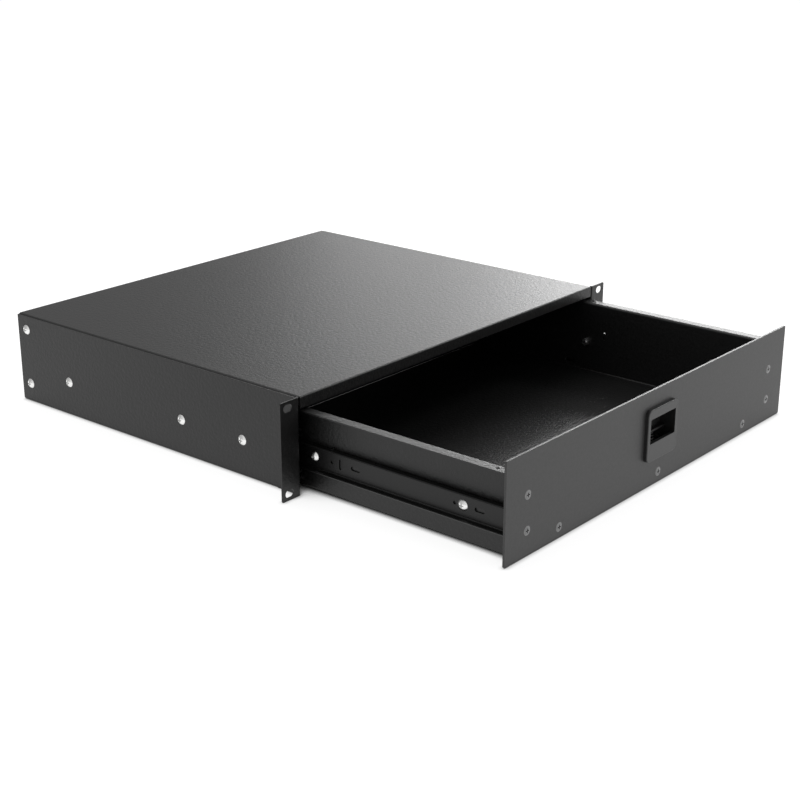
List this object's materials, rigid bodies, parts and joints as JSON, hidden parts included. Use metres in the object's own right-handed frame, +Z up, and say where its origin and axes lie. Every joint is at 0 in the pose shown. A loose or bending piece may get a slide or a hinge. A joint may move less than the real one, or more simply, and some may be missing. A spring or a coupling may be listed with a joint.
{
  "type": "sliding rack drawer",
  "caption": "Two-unit rack drawer: a steel case with rack ears and a sheet-metal tray that slides out on ball-bearing slides behind a flat front panel with a slam latch.",
  "frame": {"origin": "centre of the four rack-ear slots, on the rear face of the ears, which seats on the rack rails", "axes": "+X to the right seen from the front, +Y towards the back of the rack, +Z up; the drawer opens along -Y"},
  "size_m": [0.4826, 0.596, 0.0886],
  "materials": {
    "black_powder_coat": "fine textured powder coat",
    "black_panel_coat": "fine textured powder coat",
    "black_slide_steel": "black electrophoretic coat, satin",
    "zinc_steel": "bright zinc plate",
    "nickel_screw": "nickel plate",
    "black_screw": "black oxide, satin",
    "ball_steel": "polished steel",
    "spring_steel": "drawn wire",
    "black_plastic": "moulded, fine matt grain",
    "stop_plastic": "moulded, smooth"
  },
  "bodies": {
    "case": {"left_side_panel": "black_powder_coat", "right_side_panel": "black_powder_coat", "top_cover": "black_powder_coat", "rear_panel": "black_powder_coat", "rear_panel_screws": "nickel_screw", "rear_panel_nuts": "zinc_steel", "left_slide_outer": "black_slide_steel", "right_slide_outer": "black_slide_steel", "slide_outer_screws": "nickel_screw", "slide_rear_bumpers": "stop_plastic"},
    "slide_middles": {"left_slide_middle": "black_slide_steel", "right_slide_middle": "black_slide_steel"},
    "outer_cages": {"left_outer_ball_cage": "zinc_steel", "right_outer_ball_cage": "zinc_steel", "outer_cage_balls": "ball_steel"},
    "inner_cages": {"left_inner_ball_cage": "zinc_steel", "right_inner_ball_cage": "zinc_steel", "inner_cage_balls": "ball_steel"},
    "drawer": {"drawer_tray": "black_powder_coat", "drawer_rear_wall": "black_powder_coat", "drawer_rear_rivets": "black_screw", "drawer_front_panel": "black_panel_coat", "front_panel_screws": "black_screw", "front_panel_nuts": "zinc_steel", "left_slide_inner": "black_slide_steel", "right_slide_inner": "black_slide_steel", "slide_inner_screws": "nickel_screw", "slide_inner_nuts": "zinc_steel", "latch_housing": "black_plastic", "latch_back_plate": "zinc_steel", "latch_screws": "zinc_steel", "latch_springs": "spring_steel"},
    "latch_bolt": {"latch_bolt": "black_plastic"}
  },
  "joints": [
    {"name": "middle_slide", "type": "slide", "parent": "case", "child": "slide_middles", "axis": [0, -1, 0], "range_m": [0, 0.1335]},
    {"name": "drawer_slide", "type": "slide", "parent": "slide_middles", "child": "drawer", "axis": [0, -1, 0], "range_m": [-0.2141, 0]},
    {"name": "outer_cage_slide", "type": "slide", "parent": "case", "child": "outer_cages", "axis": [0, -1, 0], "range_m": [0, 0.06675]},
    {"name": "inner_cage_slide", "type": "slide", "parent": "slide_middles", "child": "inner_cages", "axis": [0, -1, 0], "range_m": [-0.10705, 0]},
    {"name": "bolt_slide", "type": "slide", "parent": "drawer", "child": "latch_bolt", "axis": [0, 0, -1], "range_m": [0, 0.007], "stiffness_N_per_m": 700, "springref_m": -0.004, "deforming": ["latch_springs"]}
  ],
  "couplings": [
    {"joint": "outer_cage_slide", "follows": "middle_slide", "ratio": 0.5},
    {"joint": "inner_cage_slide", "follows": "drawer_slide", "ratio": 0.5}
  ]
}
